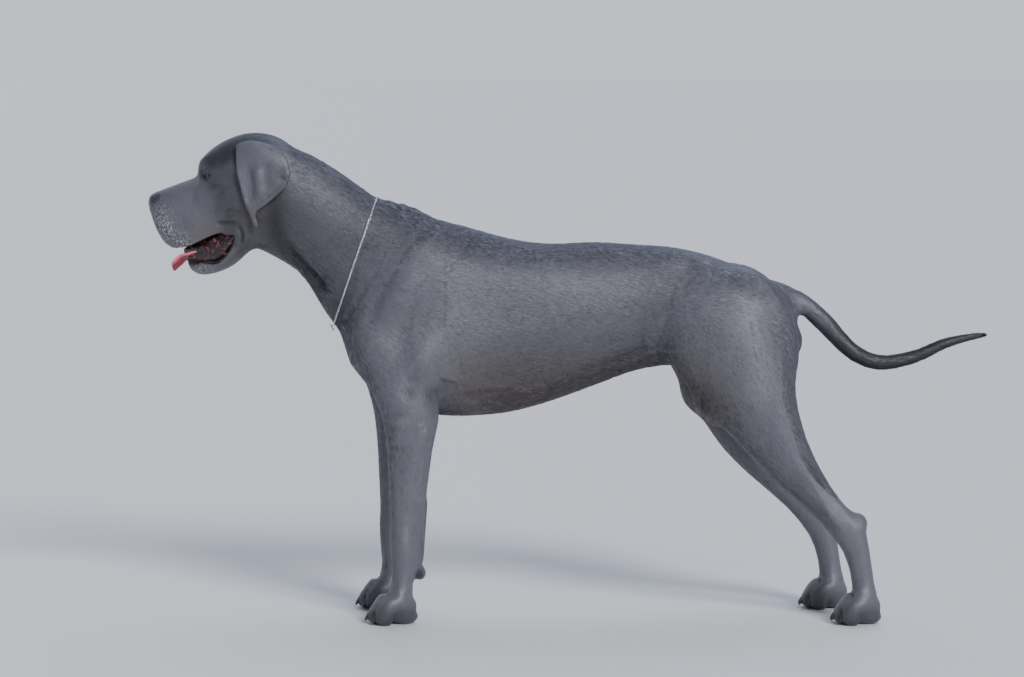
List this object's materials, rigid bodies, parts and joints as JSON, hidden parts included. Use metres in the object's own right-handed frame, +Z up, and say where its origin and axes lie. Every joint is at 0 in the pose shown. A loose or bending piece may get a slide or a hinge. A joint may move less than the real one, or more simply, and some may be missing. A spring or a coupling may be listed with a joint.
{
  "type": "great dane dog",
  "caption": "Life-size still great dane in a stretched show stance, mouth open, with hanging ears, short blue-grey coat and a thin chain collar. It stands on flats under its paws.",
  "frame": {"origin": "middle of the box round the whole dog, at the level of its soles", "axes": "+X runs from the head to the tail, +Y points to the dog's right, +Z is up"},
  "size_m": [1.6822, 0.2734, 0.9711],
  "materials": {
    "coat": "short flat blue-grey hair with a soft sheen",
    "tail_coat": "short dark grey hair",
    "eye": "wet gloss",
    "tongue": "moist satin",
    "chain": "polished"
  },
  "bodies": {
    "root": {"head": "coat", "jaw": "coat", "tongue": "tongue", "eye_left": "eye", "eye_right": "eye", "ear_left": "coat", "ear_right": "coat", "neck": "coat", "chain_collar": "chain", "torso": "coat", "foreleg_left": "coat", "foreleg_right": "coat", "hindleg_left": "coat", "hindleg_right": "coat", "tail_base": "tail_coat", "tail_middle": "tail_coat", "tail_tip": "tail_coat"}
  },
  "joints": []
}
